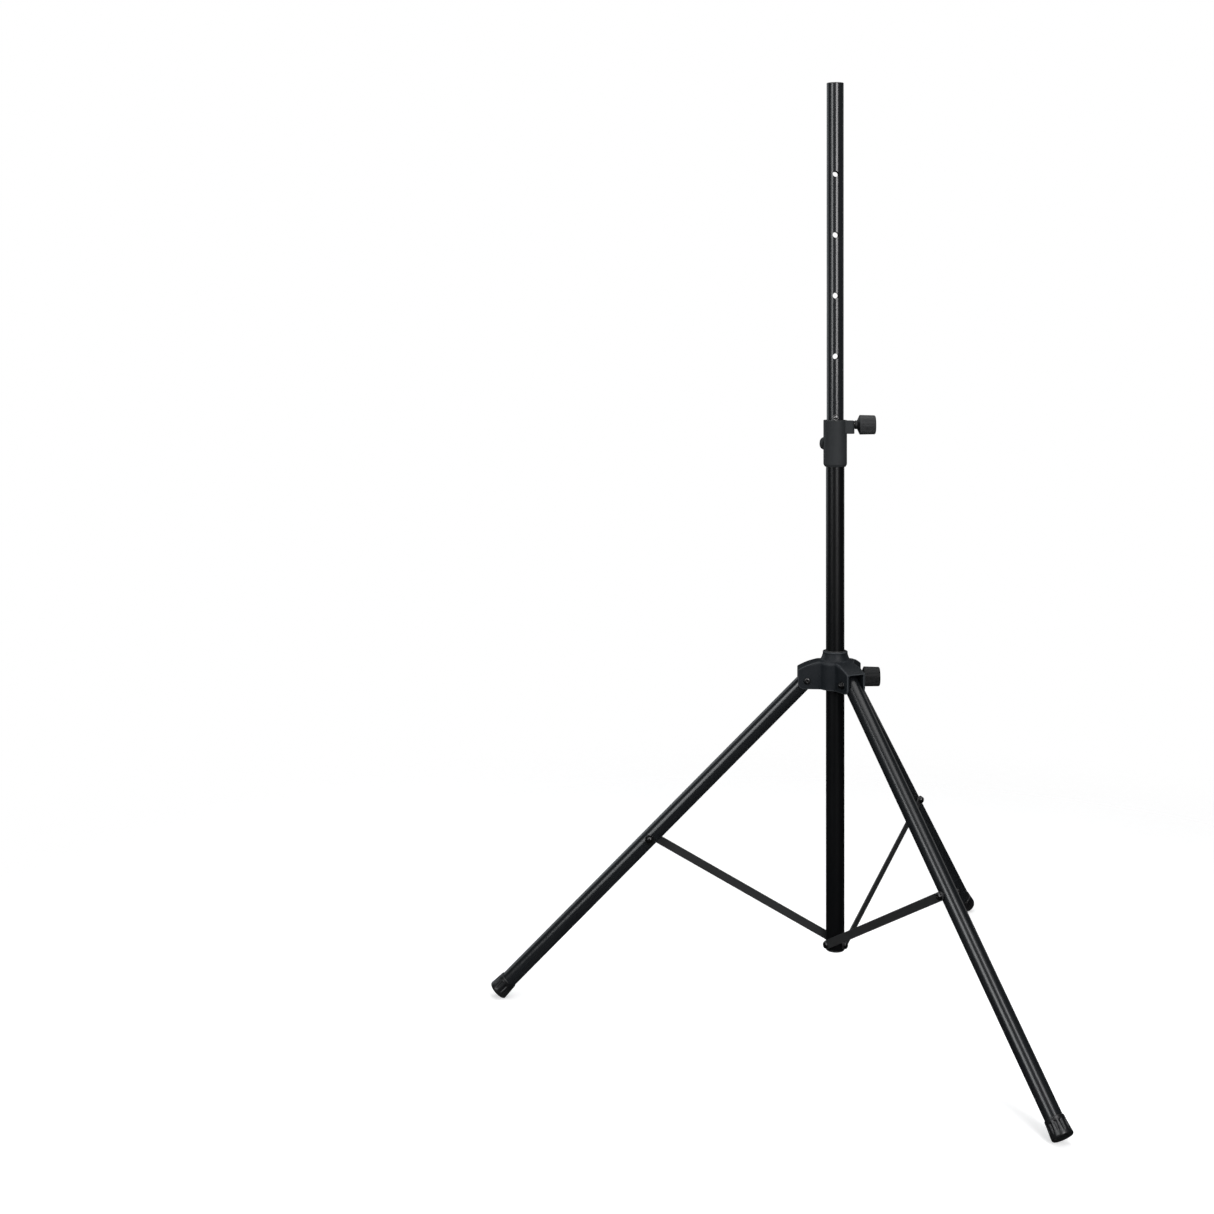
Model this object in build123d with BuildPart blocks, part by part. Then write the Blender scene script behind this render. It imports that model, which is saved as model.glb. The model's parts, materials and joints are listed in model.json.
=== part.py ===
"""Loudspeaker tripod stand: telescoping mast, screw clamps, folding three-leg base.

Units are millimetres. Z is up, the floor is z = 0 and the column stands on the Z axis.
Leg n is modelled in the XZ plane and turned about Z to its own angle.
"""
from build123d import *
from math import asin, atan2, cos, degrees, hypot, radians, sin, sqrt
import os

os.makedirs("parts", exist_ok=True)

# ---------------------------------------------------------------- driving dimensions
leg_angles = (-60, 60, 180)          # direction of each leg about Z
gap = 0.05                           # clearance between pieces of different bodies

# column
tube_r = 19.0
tube_wall = 1.2
tube_bottom = 117.0
tube_top = 1182.0
plug_top = 172.0

# mast
mast_r = 17.5
mast_wall = 1.5
mast_bottom = 861.0
mast_top = 1900.5
mast_holes = (1212.0, 1337.0, 1462.0, 1587.0, 1712.0)
mast_hole_r = 6.0
mark_depth = 0.3                     # ring line that marks where the free length of the mast begins
mark_width = 1.0

# collar at the top of the lower tube
collar_r = 24.2
collar_bottom = 1110.0
collar_top = 1205.5
boss_end = 39.0
boss_width = 28.0
boss_low = 1178.0
boss_high = 1204.2
upper_screw_z = 1196.0
guide_r = 20.0                       # outside of the nylon guide in the collar
guide_top = collar_top + 0.4
dome_z = 1156.5
dome_angle = 150
dome_r = 13.2

# leg housing that slides on the lower tube
pivot_r = 58.5
pivot_z = 671.3
spread = 44.25                       # leg angle from the vertical when the stand is open
body_r = 38.6
yoke_r = 77.0
yoke_half = 22.0
slot_half = 17.3
slot_in = 38.8
roof_mid = 39.5                      # roof height above the pivot at body_r
roof_end = 23.2                      # and at yoke_r
housing_low = -17.3
neck_top = 59.0
liner_r = 21.6
lower_screw_z = pivot_z + 6.5
lower_boss_end = 47.0

# legs and feet
leg_r = 16.8
leg_wall = 1.2
leg_over = 9.0                       # tube above the pivot
brace_at = 464.3                     # pivot to brace bolt, along the leg
foot_r = 20.5
foot_rim_r = 18.4
foot_len = 34.0
foot_edge = 2.5
foot_sole = 6.0
drop = pivot_z - (foot_r - foot_edge) * sin(radians(spread)) - foot_edge
leg_len = drop / cos(radians(spread)) + foot_edge

# braces: flat bars on edge, each beside its leg and beside the column
bar_in = 19.6
bar_thick = 3.0
bar_half = 8.5
bar_low_z = 127.0
bolt_x = pivot_r + brace_at * sin(radians(spread))
bolt_z = pivot_z - brace_at * cos(radians(spread))
bar_len = hypot(bolt_x, bolt_z - bar_low_z)
bar_tilt = degrees(atan2(bolt_x, bolt_z - bar_low_z))

# fold, from the linkage: the legs end vertical beside the column
bar_folded = degrees(asin(pivot_r / bar_len))
fold_travel = sqrt(bar_len**2 - pivot_r**2) + brace_at + bar_low_z - pivot_z

# clamp screws
stud_r = 5.0
pad_r = 5.6
pad_travel = 3.0
knob_r = 20.2
knob_neck_r = 9.0
knob_ribs = 44

# planes
side = Plane(origin=(0, 0, 0), x_dir=(1, 0, 0), z_dir=(0, -1, 0))          # x out, y up


def across(x, y, z):
    """Plane whose normal runs sideways, toward the brace side of a leg."""
    return Plane(origin=(x, y, z), x_dir=(1, 0, 0), z_dir=(0, -1, 0))


def outward(x, z):
    """Plane whose normal runs out along X."""
    return Plane(origin=(x, 0, z), x_dir=(0, 1, 0), z_dir=(1, 0, 0))


def along_leg(distance):
    """Plane square to the leg, its normal running down the leg."""
    s, c = sin(radians(spread)), cos(radians(spread))
    at = (pivot_r + distance * s, 0, pivot_z - distance * c)
    return Plane(origin=at, x_dir=(0, 1, 0), z_dir=(s, 0, -c))


def save(part, name):
    part.label = name
    export_step(part, f"parts/{name}.step")


def turned(part, angle):
    return Rot(0, 0, angle) * part


def around(part):
    """The same piece at each of the three legs, as separate solids."""
    return Compound(children=[turned(part, a) for a in leg_angles])


# ================================================================ column
with BuildPart() as lower_tube:
    with BuildSketch(Plane.XY.offset(tube_bottom)):
        Circle(tube_r)
        Circle(tube_r - tube_wall, mode=Mode.SUBTRACT)
    extrude(amount=tube_top - tube_bottom)
    for a in leg_angles:
        with Locations(Location((0, 0, bar_low_z), (0, 0, a))):
            with Locations((0, -tube_r + 2, 0)):
                Cylinder(3.0, 8, rotation=(90, 0, 0), mode=Mode.SUBTRACT)
save(lower_tube.part, "lower_tube")

# plug pressed into the bottom of the tube; the brace screws go into it
plug_r = tube_r - tube_wall
with BuildPart() as base_plug:
    with BuildSketch(Plane.XY.offset(tube_bottom - 3.5)):
        Circle(tube_r)
    extrude(amount=3.5)
    fillet(base_plug.edges().sort_by(Axis.Z)[0], 2.4)
    with BuildSketch(Plane.XY.offset(tube_bottom)):
        Circle(plug_r)
    extrude(amount=plug_top - tube_bottom)
    chamfer(base_plug.edges().sort_by(Axis.Z)[-1], 1.5)
    with BuildSketch(Plane.XY.offset(tube_bottom + 38)):
        Circle(plug_r - 3)
    extrude(amount=30, mode=Mode.SUBTRACT)
    with BuildSketch(Plane.XY.offset(tube_bottom - 4)):
        Circle(7)
    extrude(amount=14, mode=Mode.SUBTRACT)
    for a in leg_angles:
        with Locations(Location((0, 0, bar_low_z), (0, 0, a))):
            with Locations((0, -plug_r + 5.5, 0)):
                Cylinder(2.9, 12, rotation=(90, 0, 0), mode=Mode.SUBTRACT)
save(base_plug.part, "base_plug")

# one brace screw: domed head outside the bar, shank through bar and tube into the plug
bar_out = bar_in + bar_thick
with BuildPart() as pivot_screw:
    with BuildSketch(across(0, -(plug_r - 11.4), bar_low_z)):
        Circle(2.9)
    extrude(amount=bar_out + gap - (plug_r - 11.4))
    with BuildSketch(across(0, -(bar_out + gap), bar_low_z)):
        Circle(7.0)
    extrude(amount=4.2)
    fillet(pivot_screw.edges().sort_by(Axis.Y)[0], 2.6)
    with BuildSketch(across(0, -(bar_out + gap + 4.2), bar_low_z)):
        RegularPolygon(2.3, 6)
    extrude(amount=-2.4, mode=Mode.SUBTRACT)
save(around(pivot_screw.part), "brace_pivot_screws")

with BuildPart() as pivot_washer:
    with BuildSketch(across(0, -(tube_r - 0.9), bar_low_z)):
        Circle(7.6)
        Circle(2.9, mode=Mode.SUBTRACT)
    extrude(amount=bar_in - gap - tube_r + 0.9)
    with Locations((0, 0, bar_low_z)):
        Cylinder(tube_r, 60, mode=Mode.SUBTRACT)
save(around(pivot_washer.part), "brace_pivot_washers")

# ---------------------------------------------------------------- collar
with BuildPart() as mast_collar:
    with BuildSketch(Plane.XY.offset(collar_bottom)):
        Circle(collar_r)
    extrude(amount=collar_top - collar_bottom)
    chamfer(mast_collar.edges().sort_by(Axis.Z)[0], 5.0, 2.6)
    fillet(mast_collar.edges().sort_by(Axis.Z)[-1], 1.0)
    with BuildSketch(Plane.XY.offset(boss_low)):
        with Locations((boss_end / 2, 0)):
            Rectangle(boss_end, boss_width)
    extrude(amount=boss_high - boss_low)
    fillet(mast_collar.edges().filter_by(Axis.Z).sort_by(Axis.X)[-2:], 7)
    fillet(mast_collar.faces().sort_by(Axis.X)[-1].edges(), 1.0)
    with BuildSketch(Plane.XY.offset(collar_bottom - 1)):
        Circle(tube_r)
    extrude(amount=tube_top - collar_bottom + 1, mode=Mode.SUBTRACT)
    with BuildSketch(Plane.XY.offset(tube_top - 1)):
        Circle(mast_r + 0.6)
    extrude(amount=40, mode=Mode.SUBTRACT)
    with BuildSketch(Plane.XY.offset(tube_top + 3)):
        Circle(guide_r)
    extrude(amount=40, mode=Mode.SUBTRACT)
    with BuildSketch(outward(0, upper_screw_z)):
        Circle(stud_r + 0.5)
    extrude(amount=60, mode=Mode.SUBTRACT)
    with BuildSketch(outward(0, upper_screw_z)):
        Circle(pad_r + 0.15)
    extrude(amount=mast_r + 8, mode=Mode.SUBTRACT)
    with BuildSketch(outward(boss_end - 9, upper_screw_z)):
        RegularPolygon(7.4, 6)
    extrude(amount=20, mode=Mode.SUBTRACT)
    # seat of the fixing screw and its domed cover, turned away from the clamp screw
    seat = Plane(origin=(0, 0, dome_z), x_dir=(0, 0, 1),
                 z_dir=(cos(radians(dome_angle)), sin(radians(dome_angle)), 0))
    with BuildSketch(seat.offset(tube_r - 1)):
        Circle(2.1)
    extrude(amount=12, mode=Mode.SUBTRACT)
    with BuildSketch(seat.offset(collar_r - 2.2)):
        Circle(dome_r)
    extrude(amount=12, mode=Mode.SUBTRACT)
save(mast_collar.part, "mast_collar")

# hex bushing with the thread for the clamp screw
with BuildPart() as upper_insert:
    with BuildSketch(outward(boss_end - 9, upper_screw_z)):
        RegularPolygon(7.4, 6)
        Circle(stud_r + gap, mode=Mode.SUBTRACT)
    extrude(amount=9.4)
    chamfer(upper_insert.edges().filter_by(GeomType.CIRCLE).sort_by(Axis.X)[-1], 0.3)
save(upper_insert.part, "upper_thread_insert")

with BuildPart() as mast_guide:
    with BuildSketch(Plane.XY.offset(tube_top + 3)):
        Circle(guide_r)
        Circle(mast_r + 0.12, mode=Mode.SUBTRACT)
    extrude(amount=guide_top - tube_top - 3)
    chamfer(mast_guide.edges().sort_by(Axis.Z)[-2:], 0.3)
    with BuildSketch(outward(0, upper_screw_z)):
        Circle(pad_r + 0.15)
    extrude(amount=30, mode=Mode.SUBTRACT)
save(mast_guide.part, "mast_guide")

with BuildPart() as collar_screw:
    with BuildSketch(seat.offset(tube_r)):
        Circle(2.1)
    extrude(amount=collar_r - 2.2 - tube_r)
    with BuildSketch(seat.offset(collar_r - 2.2)):
        Circle(4.0)
    extrude(amount=2.6)
    fillet(collar_screw.edges().sort_by(Axis(seat.origin, seat.z_dir))[-1], 0.8)
save(collar_screw.part, "collar_screw")

with BuildPart() as collar_dome:
    with BuildSketch(seat.offset(collar_r - 2.2)):
        Circle(dome_r)
    extrude(amount=4.0)
    with BuildSketch(seat.offset(collar_r + 1.8)):
        Circle(dome_r)
    extrude(amount=5.4, taper=24)
    fillet(collar_dome.edges().sort_by(Axis(seat.origin, seat.z_dir))[-1], 4.0)
    with BuildSketch(seat.offset(collar_r - 2.2)):
        Circle(8.6)
    extrude(amount=6.0, mode=Mode.SUBTRACT)
save(collar_dome.part, "collar_cap")

# ================================================================ mast
with BuildPart() as mast_tube:
    with BuildSketch(Plane.XY.offset(mast_bottom)):
        Circle(mast_r)
        Circle(mast_r - mast_wall, mode=Mode.SUBTRACT)
    extrude(amount=mast_top - 2.5 - mast_bottom)
    with Locations([(0, 0, z) for z in mast_holes]):
        Cylinder(mast_hole_r, 80, rotation=(90, 0, 0), mode=Mode.SUBTRACT)
    # level with the guide's top, so it shows only when the mast is raised
    with BuildSketch(Plane.XY.offset(guide_top - mark_width)):
        Circle(mast_r + 1)
        Circle(mast_r - mark_depth, mode=Mode.SUBTRACT)
    extrude(amount=mark_width, mode=Mode.SUBTRACT)
save(mast_tube.part, "mast_tube")

bore_r = mast_r - mast_wall
with BuildPart() as mast_cap:
    with BuildSketch(Plane.XY.offset(mast_top - 2.5)):
        Circle(mast_r)
    extrude(amount=2.5)
    fillet(mast_cap.edges().sort_by(Axis.Z)[-1], 1.2)
    with BuildSketch(Plane.XY.offset(mast_top - 22)):
        Circle(bore_r)
        Circle(bore_r - 2.5, mode=Mode.SUBTRACT)
    extrude(amount=19.5)
save(mast_cap.part, "mast_cap")

with BuildPart() as mast_shoe:
    with BuildSketch(Plane.XY.offset(mast_bottom - 10)):
        Circle(mast_r + 0.2)
    extrude(amount=10)
    chamfer(mast_shoe.edges().sort_by(Axis.Z)[0], 1.2)
    with BuildSketch(Plane.XY.offset(mast_bottom)):
        Circle(bore_r)
    extrude(amount=24)
    with BuildSketch(Plane.XY.offset(mast_bottom - 12)):
        Circle(bore_r - 3)
    extrude(amount=30, mode=Mode.SUBTRACT)
save(mast_shoe.part, "mast_shoe")

with BuildPart() as lock_pin:
    with BuildSketch(across(0, 14.6, mast_holes[0])):
        Circle(mast_hole_r)
    extrude(amount=29.2)
    with BuildSketch(across(0, 17.2, mast_holes[0])):
        Circle(4.2)
    extrude(amount=34.4)
    fillet(lock_pin.edges().filter_by(GeomType.CIRCLE).group_by(Axis.Y)[0], 2.4)
    fillet(lock_pin.edges().filter_by(GeomType.CIRCLE).group_by(Axis.Y)[-1], 2.4)
save(lock_pin.part, "lock_pin")


# ================================================================ clamp screws
def clamp_set(name, wall_r, screw_z, boss, knob_start):
    """Nylon pad, threaded stud and ribbed knob of a screw clamp, pointing out along X."""
    pad_back = wall_r + 4.0
    with BuildPart() as pad:
        with BuildSketch(outward(wall_r - 2, screw_z)):
            Circle(pad_r)
        extrude(amount=pad_back - wall_r + 2)
        with Locations((0, 0, screw_z)):
            Cylinder(wall_r + gap, 40, mode=Mode.SUBTRACT)
        chamfer(pad.edges().filter_by(GeomType.CIRCLE).sort_by(Axis.X)[-1], 0.4)
    save(pad.part, f"{name}_clamp_pad")

    with BuildPart() as stud:
        with BuildSketch(outward(pad_back, screw_z)):
            Circle(stud_r)
        extrude(amount=knob_start + 24 - pad_back)
        chamfer(stud.edges().sort_by(Axis.X)[0], 0.8)
    save(stud.part, f"{name}_clamp_stud")

    neck, full, tip = boss + 0.8, knob_start + 5, knob_start + 38.5
    with BuildPart() as knob:
        with BuildSketch(Plane.XZ):
            with BuildLine():
                Polyline((neck, 0), (neck, knob_neck_r - 0.6), (neck + 0.6, knob_neck_r),
                         (knob_start, knob_neck_r), (knob_start + 0.4, 10.6), (full, knob_r),
                         (tip - 3.4, knob_r - 0.7))
                ThreePointArc((tip - 3.4, knob_r - 0.7), (tip - 1.3, knob_r - 1.9),
                              (tip - 0.5, knob_r - 4.2))
                Line((tip - 0.5, knob_r - 4.2), (tip, 0))
                Line((tip, 0), (neck, 0))
            make_face()
        revolve(axis=Axis.X)
        with BuildSketch(outward(full - 1.5, 0)):
            with PolarLocations(knob_r + 0.55, knob_ribs):
                Circle(1.0)
        extrude(amount=tip - full - 1.2, mode=Mode.SUBTRACT)
        with BuildSketch(outward(neck - 1, 0)):
            Circle(stud_r)
        extrude(amount=knob_start + 25 - neck, mode=Mode.SUBTRACT)
    save(Pos(0, 0, screw_z) * knob.part, f"{name}_clamp_knob")


clamp_set("upper", mast_r, upper_screw_z, boss_end, 45.0)
clamp_set("lower", tube_r, lower_screw_z, lower_boss_end, 53.5)

# ================================================================ leg housing
top = pivot_z + roof_mid
low = pivot_z + housing_low
lip = pivot_z + neck_top

with BuildPart() as yoke:
    with BuildSketch(side):
        with BuildLine():
            Polyline((0, top), (0, low), (yoke_r - 12, low))
            ThreePointArc((yoke_r - 12, low), (yoke_r - 3.2, low + 3.6), (yoke_r, low + 12.5))
            Line((yoke_r, low + 12.5), (yoke_r, pivot_z + roof_end))
            ThreePointArc((yoke_r, pivot_z + roof_end), (58, pivot_z + 32.6), (body_r - 3, top))
            Line((body_r - 3, top), (0, top))
        make_face()
    extrude(amount=yoke_half, both=True)
    # slot for the leg, open below and outward, under the roof
    with BuildSketch(side):
        with BuildLine():
            Polyline((slot_in, low - 5), (slot_in, top - 7.5))
            ThreePointArc((slot_in, top - 7.5), (58, pivot_z + 28.6), (yoke_r + 5, pivot_z + 17.6))
            Polyline((yoke_r + 5, pivot_z + 17.6), (yoke_r + 5, low - 5), (slot_in, low - 5))
        make_face()
    extrude(amount=slot_half, both=True, mode=Mode.SUBTRACT)
    with BuildSketch(across(pivot_r, 0, pivot_z)):
        Circle(3.9)
    extrude(amount=40, both=True, mode=Mode.SUBTRACT)

with BuildPart() as leg_housing:
    with BuildSketch(Plane.XZ):
        with BuildLine():
            Polyline((0, low), (body_r, low), (body_r, top - 1.5), (body_r - 3, top))
            Polyline((body_r - 3, top), (31.2, top + 1.6), (30.0, top + 2.6))
            Spline((30.0, top + 2.6), (27.6, top + 7.6), (25.2, lip - 3.4))
            Polyline((25.2, lip - 3.4), (25.7, lip - 2.8), (25.7, lip - 0.8), (24.9, lip),
                     (0, lip), (0, low))
        make_face()
    revolve(axis=Axis.Z)
    for a in leg_angles:
        add(turned(yoke.part, a))
    with BuildSketch(outward(0, lower_screw_z)):
        Circle(13)
    extrude(amount=lower_boss_end)
    fillet(leg_housing.faces().sort_by(Axis.X)[-1].edges(), 1.2)
    # weight-saving pockets from below, between the yokes and clear of the screw boss
    with BuildSketch(Plane.XY.offset(low - 1)):
        for a in leg_angles[1:]:
            with Locations(Location((0, 0, 0), (0, 0, a + 60))):
                with Locations((31.6, 0)):
                    Rectangle(7.0, 22)
    extrude(amount=46, mode=Mode.SUBTRACT)
    with BuildSketch(Plane.XY.offset(low - 1)):
        Circle(liner_r)
    extrude(amount=100, mode=Mode.SUBTRACT)
    with BuildSketch(outward(0, lower_screw_z)):
        Circle(stud_r + 0.5)
    extrude(amount=70, mode=Mode.SUBTRACT)
    with BuildSketch(outward(0, lower_screw_z)):
        Circle(pad_r + 0.15)
    extrude(amount=tube_r + 8, mode=Mode.SUBTRACT)
    with BuildSketch(outward(lower_boss_end - 11, lower_screw_z)):
        RegularPolygon(7.4, 6)
    extrude(amount=20, mode=Mode.SUBTRACT)
save(leg_housing.part, "leg_housing")

with BuildPart() as housing_liner:
    with BuildSketch(Plane.XY.offset(low)):
        Circle(liner_r)
        Circle(tube_r + 0.15, mode=Mode.SUBTRACT)
    extrude(amount=pivot_z + neck_top + 1.2 - low)
    chamfer(housing_liner.edges().sort_by(Axis.Z)[-2:], 0.6)
    with BuildSketch(outward(0, lower_screw_z)):
        Circle(pad_r + 0.15)
    extrude(amount=30, mode=Mode.SUBTRACT)
save(housing_liner.part, "housing_liner")

with BuildPart() as lower_insert:
    with BuildSketch(outward(lower_boss_end - 11, lower_screw_z)):
        RegularPolygon(7.4, 6)
        Circle(stud_r + gap, mode=Mode.SUBTRACT)
    extrude(amount=11.4)
    chamfer(lower_insert.edges().filter_by(GeomType.CIRCLE).sort_by(Axis.X)[-1], 0.3)
save(lower_insert.part, "lower_thread_insert")

# pivot bolts: round head with a hex socket on one cheek, lock nut on the other
with BuildPart() as pivot_bolt:
    with BuildSketch(across(pivot_r, yoke_half, pivot_z)):
        Circle(3.9)
    extrude(amount=2 * yoke_half + 8.8)
    chamfer(pivot_bolt.edges().sort_by(Axis.Y)[0], 0.8)
    with BuildSketch(across(pivot_r, yoke_half + 4.4, pivot_z)):
        Circle(6.6)
    extrude(amount=4.4)
    fillet(pivot_bolt.edges().sort_by(Axis.Y)[-1], 2.6)
    with BuildSketch(across(pivot_r, yoke_half + 4.4, pivot_z)):
        RegularPolygon(2.9, 6)
    extrude(amount=2.8, mode=Mode.SUBTRACT)
save(around(pivot_bolt.part), "leg_pivot_bolts")

with BuildPart() as pivot_nut:
    with BuildSketch(across(pivot_r, -yoke_half, pivot_z)):
        Circle(7.4)
        Circle(3.9, mode=Mode.SUBTRACT)
    extrude(amount=1.2)
    with BuildSketch(across(pivot_r, -(yoke_half + 1.2), pivot_z)):
        RegularPolygon(6.9, 6)
        Circle(3.9, mode=Mode.SUBTRACT)
    extrude(amount=4.2)
    with BuildSketch(across(pivot_r, -(yoke_half + 5.4), pivot_z)):
        Circle(5.7)
        Circle(3.9, mode=Mode.SUBTRACT)
    extrude(amount=1.6)
save(around(pivot_nut.part), "leg_pivot_nuts")

# ================================================================ legs
with BuildPart() as leg_tube:
    with BuildSketch(along_leg(-leg_over)):
        Circle(leg_r)
        Circle(leg_r - leg_wall, mode=Mode.SUBTRACT)
    extrude(amount=leg_len - foot_sole + leg_over)
    with BuildSketch(across(pivot_r, 0, pivot_z)):
        Circle(5.0)
    extrude(amount=40, both=True, mode=Mode.SUBTRACT)
    with BuildSketch(across(bolt_x, 0, bolt_z)):
        Circle(4.0)
    extrude(amount=40, both=True, mode=Mode.SUBTRACT)

# plastic core in the top of the leg; it carries the pivot bore
with BuildPart() as leg_plug:
    with BuildSketch(along_leg(-leg_over)):
        Circle(leg_r - leg_wall)
    extrude(amount=44)
    with BuildSketch(across(pivot_r, 0, pivot_z)):
        Circle(5.0)
    extrude(amount=leg_r + 0.3, both=True)
    with BuildSketch(across(pivot_r, 0, pivot_z)):
        Circle(3.9 + gap)
    extrude(amount=40, both=True, mode=Mode.SUBTRACT)
    with BuildSketch(along_leg(14)):
        Circle(leg_r - leg_wall - 2.5)
    extrude(amount=40, mode=Mode.SUBTRACT)

with BuildPart() as foot:
    with BuildSketch(Plane.XZ):
        with BuildLine():
            Polyline((0, 0), (0, -foot_sole), (leg_r, -foot_sole), (leg_r, -foot_len),
                     (foot_rim_r, -foot_len), (foot_rim_r + 0.2, -foot_len + 3),
                     (foot_r, -foot_edge - 3))
            Line((foot_r, -foot_edge - 3), (foot_r, -foot_edge))
            RadiusArc((foot_r, -foot_edge), (foot_r - foot_edge, 0), -foot_edge)
            Line((foot_r - foot_edge, 0), (0, 0))
        make_face()
    revolve(axis=Axis.Z)
    # flutes around the flare
    with PolarLocations(0, 16):
        with Locations(Location((foot_rim_r + 2.45, 0, -16.5), (0, -5.3, 0))):
            Cylinder(1.7, 11, mode=Mode.SUBTRACT)
        with Locations((foot_rim_r + 1.95, 0, -22)):
            Sphere(1.7, mode=Mode.SUBTRACT)
        with Locations((foot_rim_r + 2.95, 0, -11)):
            Sphere(1.7, mode=Mode.SUBTRACT)

# nut, sleeve and spacer through the leg; the brace screw seats against its outer face
with BuildPart() as brace_nut:
    with BuildSketch(across(bolt_x, leg_r + 1.3, bolt_z)):
        Circle(4.0)
    extrude(amount=leg_r + 1.3 + bar_in - gap)
    with BuildSketch(across(bolt_x, -(leg_r - 1.4), bolt_z)):
        Circle(6.2)
    extrude(amount=bar_in - gap - leg_r + 1.4)
    with BuildSketch(across(bolt_x, leg_r - 3.4, bolt_z)):
        Circle(9.2)
    extrude(amount=-4.7)
    with BuildSketch(across(bolt_x, leg_r + 1.3, bolt_z)):
        Circle(5.8)
    extrude(amount=-4.2)
    fillet(brace_nut.edges().sort_by(Axis.Y)[-1], 3.2)
    with BuildSketch(along_leg(brace_at - 20)):
        Circle(leg_r)
    extrude(amount=40, mode=Mode.SUBTRACT)
    with BuildSketch(across(bolt_x, leg_r + 1, bolt_z)):
        Circle(4.0)
    extrude(amount=2 * leg_r + 2)

# ================================================================ braces
up = Plane(origin=(0, 0, bar_low_z),
           x_dir=(sin(radians(bar_tilt)), 0, cos(radians(bar_tilt))), z_dir=(0, -1, 0))
with BuildPart() as brace:
    with BuildSketch(up.offset(bar_in)):
        with Locations((bar_len / 2, 0)):
            SlotOverall(bar_len + 2 * bar_half, 2 * bar_half)
        Circle(2.9 + gap, mode=Mode.SUBTRACT)
        with Locations((bar_len, 0)):
            Circle(4.0, mode=Mode.SUBTRACT)
    extrude(amount=bar_thick)
    chamfer(brace.faces().sort_by(Axis.Y)[0].outer_wire().edges(), 0.5)
    chamfer(brace.faces().sort_by(Axis.Y)[-1].outer_wire().edges(), 0.5)

with BuildPart() as brace_screw:
    with BuildSketch(across(bolt_x, -(bar_in + 0.1), bolt_z)):
        Circle(4.0)
    extrude(amount=bar_thick + 0.4)
    with BuildSketch(across(bolt_x, -bar_out, bolt_z)):
        Circle(7.6)
    extrude(amount=1.2)
    with BuildSketch(across(bolt_x, -(bar_out + 1.2), bolt_z)):
        Circle(6.6)
    extrude(amount=4.6)
    fillet(brace_screw.edges().sort_by(Axis.Y)[0], 3.0)
    with BuildSketch(across(bolt_x, -(bar_out + 5.8), bolt_z)):
        RegularPolygon(2.6, 6)
    extrude(amount=-2.6, mode=Mode.SUBTRACT)

for n, a in enumerate(leg_angles, start=1):
    save(turned(leg_tube.part, a), f"leg_tube_{n}")
    save(turned(leg_plug.part, a), f"leg_plug_{n}")
    save(turned(along_leg(leg_len).location * foot.part, a), f"foot_{n}")
    save(turned(brace_nut.part, a), f"brace_nut_{n}")
    save(turned(brace.part, a), f"brace_{n}")
    save(turned(brace_screw.part, a), f"brace_screw_{n}")

print(f"leg {leg_len:.2f}  bar {bar_len:.2f} tilt {bar_tilt:.3f} folded {bar_folded:.3f}")
print(f"bolt ({bolt_x:.2f}, {bolt_z:.2f})  travel {fold_travel:.2f}")
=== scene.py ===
"""Loudspeaker tripod stand: looks, floor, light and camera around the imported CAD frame.

Everything is in metres in the frame of the CAD: Z up, the floor at z = 0, the column on the Z axis.
"""
import json
from math import cos, pi, radians, sin, tau

import bmesh
import bpy
from mathutils import Matrix, Vector


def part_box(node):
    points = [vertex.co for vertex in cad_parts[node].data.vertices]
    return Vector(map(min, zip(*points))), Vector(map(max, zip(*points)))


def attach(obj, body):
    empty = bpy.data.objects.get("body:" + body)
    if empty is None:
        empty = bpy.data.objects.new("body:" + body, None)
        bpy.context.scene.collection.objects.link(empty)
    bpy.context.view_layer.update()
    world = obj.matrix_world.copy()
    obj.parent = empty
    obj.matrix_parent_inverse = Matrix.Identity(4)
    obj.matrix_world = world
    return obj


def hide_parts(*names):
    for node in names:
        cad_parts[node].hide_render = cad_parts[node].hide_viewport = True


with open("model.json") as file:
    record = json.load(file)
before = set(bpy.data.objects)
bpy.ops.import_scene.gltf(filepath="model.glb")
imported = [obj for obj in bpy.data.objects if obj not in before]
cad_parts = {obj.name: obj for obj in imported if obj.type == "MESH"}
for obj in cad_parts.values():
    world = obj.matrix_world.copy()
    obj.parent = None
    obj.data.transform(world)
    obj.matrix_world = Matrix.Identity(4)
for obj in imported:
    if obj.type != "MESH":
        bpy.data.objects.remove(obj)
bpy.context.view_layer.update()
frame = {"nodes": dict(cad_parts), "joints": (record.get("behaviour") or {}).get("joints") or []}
nodes = frame["nodes"]
scene = bpy.context.scene

# places that the frame's joints give; leg 3 points along -X, and a folded leg stands beside the column
joints = {joint["name"]: joint for joint in frame["joints"]}
UPPER_KNOB_Z = joints["upper_knob_turn"]["pos_m"][2]
LOWER_KNOB_Z = joints["lower_knob_turn"]["pos_m"][2]
PIVOT_RADIUS = -joints["leg_3_fold"]["pos_m"][0]
PIVOT_Z = joints["leg_3_fold"]["pos_m"][2]
SPREAD = radians(joints["leg_3_fold"]["range_deg"][1])

LEG_ANGLES = {1: radians(-60), 2: radians(60), 3: radians(180)}
LEG_LENGTH = 0.91865  # from the pivot to the sole
BAR_TILT = radians(61.034)  # between a brace and the column


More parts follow.
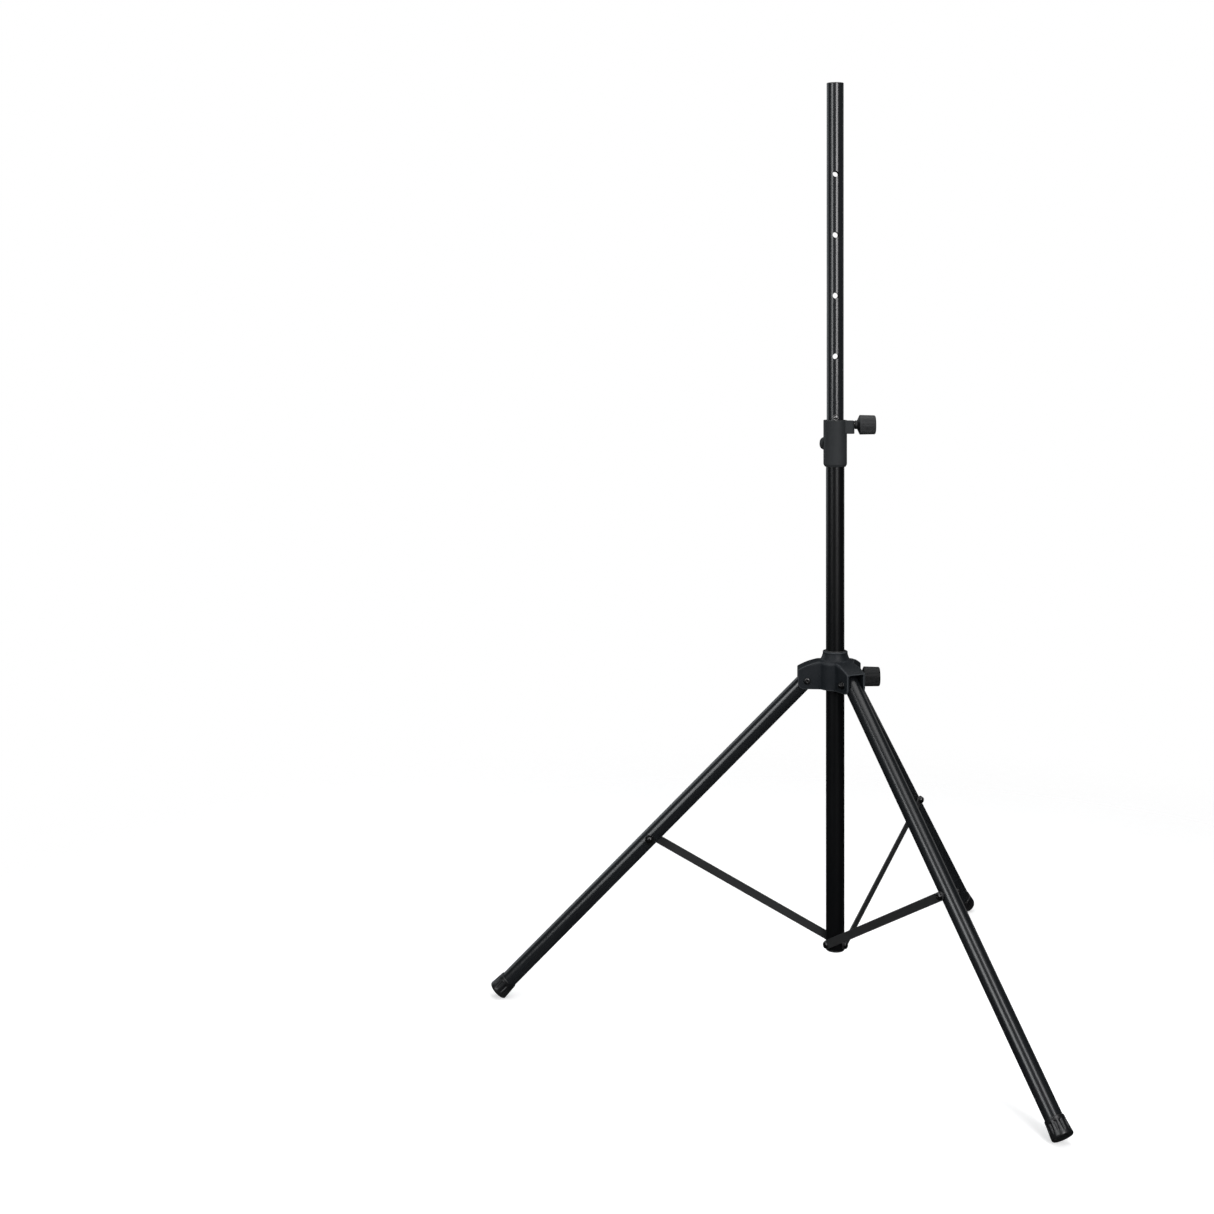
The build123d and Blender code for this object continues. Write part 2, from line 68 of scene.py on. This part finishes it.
# ---------------------------------------------------------------- node helpers
class Graph:
    """Short calls for building a material's nodes."""

    def __init__(self, name):
        self.mat = bpy.data.materials.new(name)
        self.mat.use_nodes = True
        self.tree = self.mat.node_tree
        self.tree.nodes.clear()
        out = self.tree.nodes.new("ShaderNodeOutputMaterial")
        self.bsdf = self.tree.nodes.new("ShaderNodeBsdfPrincipled")
        self.tree.links.new(self.bsdf.outputs[0], out.inputs[0])

    def add(self, kind, **inputs):
        node = self.tree.nodes.new(kind)
        for key, value in inputs.items():
            self.put(node, key, value)
        return node

    def put(self, node, key, value):
        socket = node.inputs[key]
        if isinstance(value, bpy.types.NodeSocket):
            self.tree.links.new(value, socket)
        else:
            socket.default_value = value

    def set(self, **inputs):
        names = {"color": "Base Color", "metallic": "Metallic", "roughness": "Roughness",
                 "normal": "Normal", "specular": "Specular IOR Level"}
        for key, value in inputs.items():
            self.put(self.bsdf, names[key], value)

    def coords(self, turn=(0, 0, 0), scale=(1, 1, 1)):
        """Object coordinates, turned first and then divided by a scale for each axis."""
        source = self.tree.nodes.new("ShaderNodeTexCoord")
        mapping = self.tree.nodes.new("ShaderNodeMapping")
        mapping.vector_type = "TEXTURE"
        mapping.inputs["Rotation"].default_value = turn
        mapping.inputs["Scale"].default_value = scale
        self.tree.links.new(source.outputs["Object"], mapping.inputs["Vector"])
        return mapping.outputs[0]

    def noise(self, vector, scale, detail=3.0, rough=0.5):
        node = self.add("ShaderNodeTexNoise", Vector=vector, Scale=scale, Detail=detail, Roughness=rough)
        return node.outputs[0]

    def remap(self, value, low, high, to_low, to_high):
        node = self.tree.nodes.new("ShaderNodeMapRange")
        for index, number in ((1, low), (2, high), (3, to_low), (4, to_high)):
            node.inputs[index].default_value = number
        self.tree.links.new(value, node.inputs[0])
        return node.outputs[0]

    def mix(self, factor, a, b):
        node = self.tree.nodes.new("ShaderNodeMix")
        node.data_type = "RGBA"
        for index, value in ((0, factor), (6, a), (7, b)):
            if isinstance(value, bpy.types.NodeSocket):
                self.tree.links.new(value, node.inputs[index])
            else:
                node.inputs[index].default_value = value if index == 0 else (*value, 1)
        return node.outputs[2]

    def bump(self, height, strength, distance, normal):
        node = self.add("ShaderNodeBump", Height=height, Strength=strength, Distance=distance, Normal=normal)
        return node.outputs[0]

    def soft_edges(self, radius):
        """Normals that round every hard edge, as a mould or a die leaves it."""
        node = self.add("ShaderNodeBevel", Radius=radius)
        node.samples = 6
        return node.outputs[0]


def tube_paint(name, turn, dark, light, rough_low, rough_high, specular=0.5):
    """Black satin enamel on a drawn tube: faint lengthwise lines in its gloss, and paler, duller patches."""
    g = Graph(name)
    drawn = g.noise(g.coords(turn, (1, 1, 60)), 260, 3, 0.55)
    patches = g.noise(g.coords(turn, (1, 1, 4)), 22, 3, 0.6)
    g.set(color=g.mix(g.remap(patches, 0.3, 0.7, 0, 1), dark, light))
    wear = g.mix(g.remap(patches, 0.45, 0.75, 0, 0.5), drawn, (0.7, 0.7, 0.7))
    g.set(roughness=g.remap(wear, 0.3, 0.7, rough_low, rough_high), specular=specular)
    return g.mat


def moulded(name, dark, light, rough, grain, strength, edge=0.0008, specular=0.5, edge_highlight=None):
    """Black plastic with a fine grain and uneven patches; a last colour, if given, is a painted highlight on
    its convex edges.
    """
    g = Graph(name)
    c = g.coords()
    grains = g.noise(c, grain, 3, 0.65)
    patches = g.noise(c, 28, 4, 0.6)
    tone = g.mix(g.remap(patches, 0.3, 0.72, 0, 1), dark, light)
    # painted highlight: the convex edges are mixed toward a paler colour
    if edge_highlight:
        convex = g.tree.nodes.new("ShaderNodeNewGeometry").outputs["Pointiness"]
        tone = g.mix(g.remap(convex, 0.504, 0.53, 0, 0.8), tone, edge_highlight)
    g.set(color=tone)
    g.set(roughness=g.remap(patches, 0.3, 0.7, rough - 0.06, rough + 0.06), specular=specular)
    g.set(normal=g.bump(grains, strength, 0.0005, g.soft_edges(edge)))
    return g.mat


def steel(name, color, rough, spots):
    """Plated or blackened steel with a fine grain and faint brownish blotches."""
    g = Graph(name)
    c = g.coords()
    blotch = g.noise(c, 180, 4, 0.6)
    fine = g.noise(c, 2600, 2, 0.6)
    g.set(metallic=1.0, color=g.mix(g.remap(blotch, 0.4, 0.75, 0, spots), color, (0.2, 0.19, 0.17)))
    g.set(roughness=g.remap(blotch, 0.3, 0.7, rough - 0.05, rough + 0.1))
    g.set(normal=g.bump(fine, 0.08, 0.0002, g.soft_edges(0.0004)))
    return g.mat


def rubber():
    """Grey-black rubber, dusty toward the floor."""
    g = Graph("foot_rubber")
    c = g.coords()
    split = g.tree.nodes.new("ShaderNodeSeparateXYZ")
    g.tree.links.new(g.tree.nodes.new("ShaderNodeTexCoord").outputs["Object"], split.inputs[0])
    height = g.remap(split.outputs["Z"], 0.0, 0.03, 0.55, 0.0)
    speck = g.noise(c, 700, 4, 0.7)
    dust = g.add("ShaderNodeMath")
    dust.operation = "MULTIPLY"
    g.tree.links.new(height, dust.inputs[0])
    g.tree.links.new(speck, dust.inputs[1])
    g.set(color=g.mix(dust.outputs[0], (0.004, 0.0043, 0.005), (0.022, 0.0215, 0.0205)))
    g.set(roughness=g.remap(speck, 0.3, 0.7, 0.3, 0.42), specular=0.5)
    g.set(normal=g.bump(speck, 0.04, 0.0003, g.soft_edges(0.0004)))
    return g.mat


mast_paint = tube_paint("mast_enamel", (0, 0, 0), (0.008, 0.009, 0.010), (0.012, 0.013, 0.0145), 0.21, 0.26)
# painted shade: the column's enamel is much darker than the mast's, for the dimmer light on the lower tube
column_paint_shaded = tube_paint("column_enamel_shaded", (0, 0, 0), (0.0015, 0.0017, 0.0021), (0.0023, 0.0025, 0.0029),
                          0.28, 0.34, 0.36)
# the housing's last colour is a painted highlight on its convex edges
housing_plastic = moulded("housing_plastic", (0.0055, 0.0075, 0.0095), (0.009, 0.011, 0.0135), 0.5, 1500,
                          0.25, 0.0008, 0.2, (0.038, 0.042, 0.046))
collar_plastic = moulded("collar_plastic", (0.0165, 0.0183, 0.0197), (0.022, 0.024, 0.0255), 0.62, 1500,
                         0.3, 0.0008, 0.2)
knob_plastic = moulded("knob_plastic", (0.014, 0.015, 0.016), (0.022, 0.023, 0.024), 0.45, 1800, 0.2, 0.0005)
cap_plastic = moulded("cap_plastic", (0.010, 0.010, 0.011), (0.015, 0.015, 0.016), 0.35, 900, 0.06)
nylon = moulded("dark_nylon", (0.012, 0.012, 0.013), (0.018, 0.018, 0.019), 0.4, 700, 0.05)
zinc = steel("zinc_plate", (0.5, 0.5, 0.5), 0.24, 0.3)
black_steel = steel("black_oxide", (0.07, 0.07, 0.072), 0.3, 0.2)
pin_steel = steel("worn_pin", (0.22, 0.22, 0.22), 0.22, 0.3)
bushing = steel("bronzed_bushing", (0.12, 0.10, 0.075), 0.34, 0.2)
foot_rubber = rubber()

finish = {
    "lower_tube": column_paint_shaded, "mast_tube": mast_paint,
    "mast_collar": collar_plastic, "collar_cap": collar_plastic, "leg_housing": housing_plastic,
    "base_plug": cap_plastic, "mast_cap": cap_plastic, "mast_shoe": cap_plastic,
    "upper_clamp_knob": knob_plastic, "lower_clamp_knob": knob_plastic,
    "mast_guide": nylon, "housing_liner": nylon, "upper_clamp_pad": nylon, "lower_clamp_pad": nylon,
    "upper_thread_insert": bushing, "lower_thread_insert": bushing,
    "upper_clamp_stud": zinc, "lower_clamp_stud": zinc, "collar_screw": zinc, "lock_pin": pin_steel,
    "leg_pivot_bolts": black_steel, "leg_pivot_nuts": black_steel,
    "brace_pivot_screws": black_steel, "brace_pivot_washers": black_steel,
}
for n, angle in LEG_ANGLES.items():
    paint = tube_paint(f"leg_enamel_{n}", (0, -SPREAD, angle), (0.005, 0.006, 0.007),
                       (0.008, 0.009, 0.010), 0.22, 0.29)
    bar = tube_paint(f"brace_enamel_{n}", (0, BAR_TILT, angle), (0.014, 0.0145, 0.015),
                     (0.021, 0.0215, 0.022), 0.34, 0.42)
    finish.update({f"leg_tube_{n}": paint, f"leg_plug_{n}": cap_plastic, f"foot_{n}": foot_rubber,
                   f"brace_nut_{n}": black_steel, f"brace_{n}": bar, f"brace_screw_{n}": black_steel})
for name, obj in nodes.items():
    for slot in obj.material_slots:
        slot.material = finish[name]


# ---------------------------------------------------------------- moulded pieces in finer detail
def new_piece(name, mesh, mat, body, node, sharp=38):
    """Adds a piece that rides on a body and stands for a CAD node."""
    mesh.materials.clear()
    mesh.materials.append(mat)
    mesh.shade_smooth()
    mesh.set_sharp_from_angle(angle=radians(sharp))
    obj = bpy.data.objects.new(name, mesh)
    scene.collection.objects.link(obj)
    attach(obj, body)
    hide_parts(node)
    return obj


def lathe(profile, origin, axis, segments, radius):
    """Mesh turned about an axis; profile is (distance, radius) in metres and radius() may cut into it."""
    axis = Vector(axis).normalized()
    u = axis.orthogonal().normalized()
    v = axis.cross(u)
    bm = bmesh.new()
    rings = []
    for along, r in profile:
        centre = Vector(origin) + axis * along
        if r < 1e-7:
            rings.append([bm.verts.new(centre)])
            continue
        ring = []
        for i in range(segments):
            t = tau * i / segments
            cut = radius(along, r, t)
            ring.append(bm.verts.new(centre + (u * cos(t) + v * sin(t)) * cut))
        rings.append(ring)
    for low, high in zip(rings, rings[1:]):
        for i in range(segments):
            j = (i + 1) % segments
            if len(low) == 1:
                bm.faces.new((low[0], high[j], high[i]))
            elif len(high) == 1:
                bm.faces.new((low[i], low[j], high[0]))
            else:
                bm.faces.new((low[i], low[j], high[j], high[i]))
    bmesh.ops.recalc_face_normals(bm, faces=bm.faces)
    mesh = bpy.data.meshes.new("lathe")
    bm.to_mesh(mesh)
    bm.free()
    return mesh


def blend_in(x, a, b, c, d):
    """0 outside a..d, 1 inside b..c, smooth between."""
    if x <= a or x >= d:
        return 0.0
    k = min((x - a) / (b - a), (d - x) / (d - c), 1.0)
    return k * k * (3 - 2 * k)


def densify(points, step):
    """The same profile with extra points, so that cuts into it have a smooth run."""
    out = [points[0]]
    for (x0, r0), (x1, r1) in zip(points, points[1:]):
        n = max(1, int(abs(x1 - x0) / step))
        out += [(x0 + (x1 - x0) * k / n, r0 + (r1 - r0) * k / n) for k in range(1, n + 1)]
    return out


RIBS = 44
RIB_DEPTH = 0.00075
STUD_RADIUS = 0.00502
GRIP_RADIUS = 0.0202


def knob(name, boss, start, z, body, node):
    """Clamp knob: neck, coned shoulder and a grip with fine rounded ribs."""
    neck, full, tip = boss + 0.0008, start + 0.005, start + 0.0385
    grip = GRIP_RADIUS
    shoulder = [(start + 0.025, 0.0), (start + 0.025, STUD_RADIUS), (neck, STUD_RADIUS),
                (neck, 0.0083), (neck + 0.0003, 0.0088), (neck + 0.0008, 0.009), (start - 0.0003, 0.009),
                (start + 0.0001, 0.0095), (start + 0.0006, 0.0108), (full - 0.0007, grip - 0.0014),
                (full - 0.0002, grip - 0.0004)]
    barrel = [(full + 0.0005, grip), (tip - 0.0038, grip - 0.0006), (tip - 0.0026, grip - 0.0010)]
    end = [(tip - 0.0016, grip - 0.0019), (tip - 0.0010, grip - 0.0031), (tip - 0.0006, grip - 0.0046),
           (tip - 0.0003, grip - 0.009), (tip, 0.0)]
    points = shoulder + densify(barrel, 0.0012) + end

    def ribbed(along, r, t):
        if r < 0.012:
            return r
        groove = max(0.0, cos(t * RIBS)) ** 2
        along_rib = blend_in(along, full - 0.0006, full + 0.0016, tip - 0.0034, tip - 0.0012)
        return r - RIB_DEPTH * groove * along_rib

    mesh = lathe(points, (0, 0, z), (1, 0, 0), RIBS * 8, ribbed)
    return new_piece(name, mesh, grip_plastic[body], body, node)


def grip_material(name, z, dark, light, specular):
    """Knob plastic with painted shade: its colour darkens in the grooves between the ribs."""
    mat = moulded(name, dark, light, 0.5, 1800, 0.15, 0.0004, specular)
    tree = mat.node_tree
    bsdf = next(n for n in tree.nodes if n.type == "BSDF_PRINCIPLED")
    before = bsdf.inputs["Base Color"].links[0].from_socket
    place = tree.nodes.new("ShaderNodeTexCoord")
    shift = tree.nodes.new("ShaderNodeVectorMath")
    shift.operation = "SUBTRACT"
    shift.inputs[1].default_value = (0, 0, z)
    flat = tree.nodes.new("ShaderNodeVectorMath")
    flat.operation = "MULTIPLY"
    flat.inputs[1].default_value = (0, 1, 1)
    reach = tree.nodes.new("ShaderNodeVectorMath")
    reach.operation = "LENGTH"
    # painted shade: the base colour is multiplied darker toward the bottom of the grooves between the ribs
    painted_groove_shade = tree.nodes.new("ShaderNodeMapRange")
    for index, number in ((1, 0.0190), (2, 0.0197), (3, 0.35), (4, 1.0)):
        painted_groove_shade.inputs[index].default_value = number
    shade = tree.nodes.new("ShaderNodeMix")
    shade.data_type = "RGBA"
    shade.blend_type = "MULTIPLY"
    shade.inputs[0].default_value = 1.0
    tree.links.new(place.outputs["Object"], shift.inputs[0])
    tree.links.new(shift.outputs[0], flat.inputs[0])
    tree.links.new(flat.outputs[0], reach.inputs[0])
    tree.links.new(reach.outputs["Value"], painted_groove_shade.inputs[0])
    tree.links.new(before, shade.inputs[6])
    tree.links.new(painted_groove_shade.outputs[0], shade.inputs[7])
    tree.links.new(shade.outputs[2], bsdf.inputs["Base Color"])
    return mat


grip_plastic = {
    "upper_knob": grip_material("upper_grip_plastic", UPPER_KNOB_Z, (0.011, 0.012, 0.013),
                                (0.017, 0.018, 0.019), 0.36),
    # painted shade: the lower grip gets darker colours than the upper one, for the dimmer light low on the
    # stand
    "lower_knob": grip_material("lower_grip_plastic_shaded", LOWER_KNOB_Z, (0.004, 0.0047, 0.0053),
                                (0.007, 0.0077, 0.0083), 0.22),
}
knob("upper_grip", 0.039, 0.045, UPPER_KNOB_Z, "upper_knob", "upper_clamp_knob")
knob("lower_grip", 0.047, 0.0535, LOWER_KNOB_Z, "lower_knob", "lower_clamp_knob")

# feet: fluted rubber boots, measured along the leg from the sole
FLUTES = 12
FLUTE_DEPTH = 0.0019
boot_mouth = [(-0.006, 0.0), (-0.006, 0.01681), (-0.034, 0.01681), (-0.034, 0.0179), (-0.0337, 0.0183),
              (-0.0332, 0.0185), (-0.0305, 0.0187), (-0.0300, 0.01845)]
boot_wall = [(-0.0294, 0.0187), (-0.0055, 0.0204)]
boot_sole = [(-0.0040, 0.0205), (-0.0025, 0.0204), (-0.0014, 0.0200), (-0.0006, 0.0193), (-0.0001, 0.0184),
             (0.0, 0.0178), (0.0, 0.0)]
boot_profile = boot_mouth + densify(boot_wall, 0.0009) + boot_sole


def fluted(along, r, t):
    """Twelve teardrop flutes, wide toward the rim and running out above the sole."""
    if r < 0.0172:
        return r
    run = blend_in(along, -0.0278, -0.0250, -0.0150, -0.0065)
    width = 0.34 + 0.30 * min(1.0, max(0.0, (-0.006 - along) / 0.019))
    phase = (t * FLUTES / tau + 0.5) % 1.0 - 0.5
    inside = max(0.0, 1 - (abs(phase) * 2 / width) ** 2) ** 0.75
    return r - FLUTE_DEPTH * run * inside


for n, angle in LEG_ANGLES.items():
    down = Vector((sin(SPREAD) * cos(angle), sin(SPREAD) * sin(angle), -cos(SPREAD)))
    pivot = Vector((PIVOT_RADIUS * cos(angle), PIVOT_RADIUS * sin(angle), PIVOT_Z))
    mesh = lathe(boot_profile, pivot + down * LEG_LENGTH, down, FLUTES * 20, fluted)
    new_piece(f"foot_boot_{n}", mesh, foot_rubber, f"leg_{n}", f"foot_{n}", 50)

HOUSING_VOXEL = 0.0011
PAD_BORE = 0.0065
EDGE_ROUNDS, CORNER_ROUNDS = 3, 36


def in_corner(x, y, z):
    """True in the housing's inside corners between the yokes, away from the boss of the clamp."""
    reach = (x * x + y * y) ** 0.5
    lateral = min(abs(x * sin(a) - y * cos(a)) if x * cos(a) + y * sin(a) > 0 else 1.0
                  for a in LEG_ANGLES.values())
    on_boss = x > 0.036 and abs(y) < 0.016
    return 0.030 < reach < 0.056 and lateral > 0.0195 and z > 0.657 and not on_boss


def soften(bm, verts, rounds):
    for _ in range(rounds):
        bmesh.ops.smooth_vert(bm, verts=verts, factor=0.5, use_axis_x=True, use_axis_y=True, use_axis_z=True)


def housing_shape():
    """The housing's mesh with rounded edges, soft inside corners and clear room round the lower pad."""
    shell = bpy.data.objects.new("housing_moulding", nodes["leg_housing"].data.copy())
    scene.collection.objects.link(shell)
    weld = shell.modifiers.new("weld", "WELD")
    weld.merge_threshold = 0.00001
    voxel = shell.modifiers.new("voxel", "REMESH")
    voxel.mode = "VOXEL"
    voxel.voxel_size = HOUSING_VOXEL
    evaluated = shell.evaluated_get(bpy.context.evaluated_depsgraph_get())
    smooth = bpy.data.meshes.new_from_object(evaluated)
    bpy.data.objects.remove(shell)
    bm = bmesh.new()
    bm.from_mesh(smooth)
    bm.verts.ensure_lookup_table()
    corner = [vert for vert in bm.verts if in_corner(*vert.co)]
    soften(bm, bm.verts, EDGE_ROUNDS)
    soften(bm, corner, CORNER_ROUNDS)
    pad_low, pad_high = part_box("lower_clamp_pad")
    for vert in bm.verts:
        off = Vector((0, vert.co.y, vert.co.z - LOWER_KNOB_Z))
        beside_pad = pad_low[0] - 0.002 < vert.co.x < pad_high[0] + 0.0045
        if beside_pad and 1e-6 < off.length < PAD_BORE:
            off = off.normalized() * PAD_BORE
            vert.co = Vector((vert.co.x, off.y, off.z + LOWER_KNOB_Z))
    bm.to_mesh(smooth)
    bm.free()
    return smooth


new_piece("housing_moulding", housing_shape(), housing_plastic, "hub", "leg_housing", 60)


# ---------------------------------------------------------------- floor, light, camera
def emitter(name, strength):
    mat = bpy.data.materials.new(name)
    mat.use_nodes = True
    tree = mat.node_tree
    tree.nodes.clear()
    out = tree.nodes.new("ShaderNodeOutputMaterial")
    light = tree.nodes.new("ShaderNodeEmission")
    light.inputs[0].default_value = (1, 1, 1, 1)
    light.inputs[1].default_value = strength
    tree.links.new(light.outputs[0], out.inputs[0])
    return mat


def mesh_object(name, build, mat):
    mesh = bpy.data.meshes.new(name)
    bm = bmesh.new()
    build(bm)
    bm.to_mesh(mesh)
    bm.free()
    mesh.materials.append(mat)
    obj = bpy.data.objects.new(name, mesh)
    scene.collection.objects.link(obj)
    return obj


FLOOR_RADIUS = 2.4
BACKDROP_RADIUS = 30
FADE_START, FADE_END = 0.9, 2.3


def floor_material():
    """Pale matte floor with a glow of its own, which fades out before its rim."""
    mat = bpy.data.materials.new("pale_floor")
    mat.use_nodes = True
    tree = mat.node_tree
    tree.nodes.clear()
    out = tree.nodes.new("ShaderNodeOutputMaterial")
    fade = tree.nodes.new("ShaderNodeMixShader")
    matte = tree.nodes.new("ShaderNodeBsdfDiffuse")
    matte.inputs[0].default_value = (0.72, 0.72, 0.72, 1)
    glow = tree.nodes.new("ShaderNodeEmission")
    glow.inputs[1].default_value = 0.5
    both = tree.nodes.new("ShaderNodeAddShader")
    clear = tree.nodes.new("ShaderNodeBsdfTransparent")
    length = tree.nodes.new("ShaderNodeVectorMath")
    length.operation = "LENGTH"
    ramp = tree.nodes.new("ShaderNodeMapRange")
    ramp.interpolation_type = "SMOOTHSTEP"
    for index, number in ((1, FADE_START), (2, FADE_END), (3, 0.0), (4, 1.0)):
        ramp.inputs[index].default_value = number
    place = tree.nodes.new("ShaderNodeTexCoord")
    tree.links.new(place.outputs["Object"], length.inputs[0])
    tree.links.new(length.outputs["Value"], ramp.inputs[0])
    tree.links.new(ramp.outputs[0], fade.inputs[0])
    tree.links.new(matte.outputs[0], both.inputs[0])
    tree.links.new(glow.outputs[0], both.inputs[1])
    tree.links.new(both.outputs[0], fade.inputs[1])
    tree.links.new(clear.outputs[0], fade.inputs[2])
    tree.links.new(fade.outputs[0], out.inputs[0])
    return mat


def build_floor(bm):
    bmesh.ops.create_circle(bm, cap_ends=True, segments=96, radius=FLOOR_RADIUS)


def build_backdrop(bm):
    bmesh.ops.create_icosphere(bm, subdivisions=4, radius=BACKDROP_RADIUS)


floor = mesh_object("floor", build_floor, floor_material())
floor.visible_glossy = False

backdrop = mesh_object("backdrop", build_backdrop, emitter("white_backdrop", 1.0))
for flag in ("visible_diffuse", "visible_glossy", "visible_transmission", "visible_shadow",
             "visible_volume_scatter"):
    setattr(backdrop, flag, False)

world = bpy.data.worlds.new("studio")
scene.world = world
world.use_nodes = True
world.node_tree.nodes["Background"].inputs[0].default_value = (0.9, 0.95, 1.0, 1)
world.node_tree.nodes["Background"].inputs[1].default_value = 0.02


def softbox(name, azimuth, distance, height, size, radiance, color=(1, 1, 1), aim=(0, 0, 1.0)):
    """Area light at an azimuth about Z, aimed at a point of the stand; radiance sets its power."""
    data = bpy.data.lights.new(name, "AREA")
    data.shape = "RECTANGLE"
    data.size, data.size_y = size
    data.energy = radiance * pi * size[0] * size[1]
    data.color = color
    obj = bpy.data.objects.new(name, data)
    scene.collection.objects.link(obj)
    obj.location = (distance * cos(azimuth), distance * sin(azimuth), height)
    obj.rotation_euler = (Vector(aim) - obj.location).to_track_quat("-Z", "Y").to_euler()
    return obj


VIEW_AZIMUTH = radians(-92.7)  # roughly from the stand to the camera
softbox("key_right", VIEW_AZIMUTH + radians(23), 3.2, 2.0, (1.1, 2.0), 11.0, (1.0, 0.99, 1.0), (0, 0, 1.6))
softbox("key_left", VIEW_AZIMUTH - radians(42), 3.2, 2.0, (1.1, 2.0), 6.4, (0.97, 0.99, 1.0), (0, 0, 1.6))
softbox("key_high", radians(-68), 2.35, 3.3, (0.9, 0.9), 7.0, (0.97, 0.98, 1.0), (0.35, -0.6, 0.3))
softbox("rim_left", VIEW_AZIMUTH - radians(125), 3.0, 1.6, (2.4, 2.2), 1.1, (0.9, 0.96, 1.0), (0, 0, 1.5))
softbox("rim_right", VIEW_AZIMUTH + radians(140), 3.4, 1.3, (1.6, 2.4), 0.35)
softbox("overhead", 0.0, 0.01, 3.6, (3.4, 3.4), 2.2, (1, 1, 1), (0, 0, 0))

camera_data = bpy.data.cameras.new("camera")
camera = bpy.data.objects.new("camera", camera_data)
scene.collection.objects.link(camera)
scene.camera = camera
# a level camera, turned a little to the left, whose frame is shifted down onto the stand
CAMERA_PLACE = (-0.2465, -3.7669, 1.4491)
CAMERA_TURN = 0.0596
camera_data.sensor_width = 36
camera_data.lens = 53.872488
camera_data.shift_y = -0.25131796
camera.matrix_world = (Matrix.Translation(CAMERA_PLACE) @ Matrix.Rotation(CAMERA_TURN, 4, "Z")
                       @ Matrix.Rotation(pi / 2, 4, "X"))

scene.view_settings.view_transform = "Standard"
scene.view_settings.look = "None"
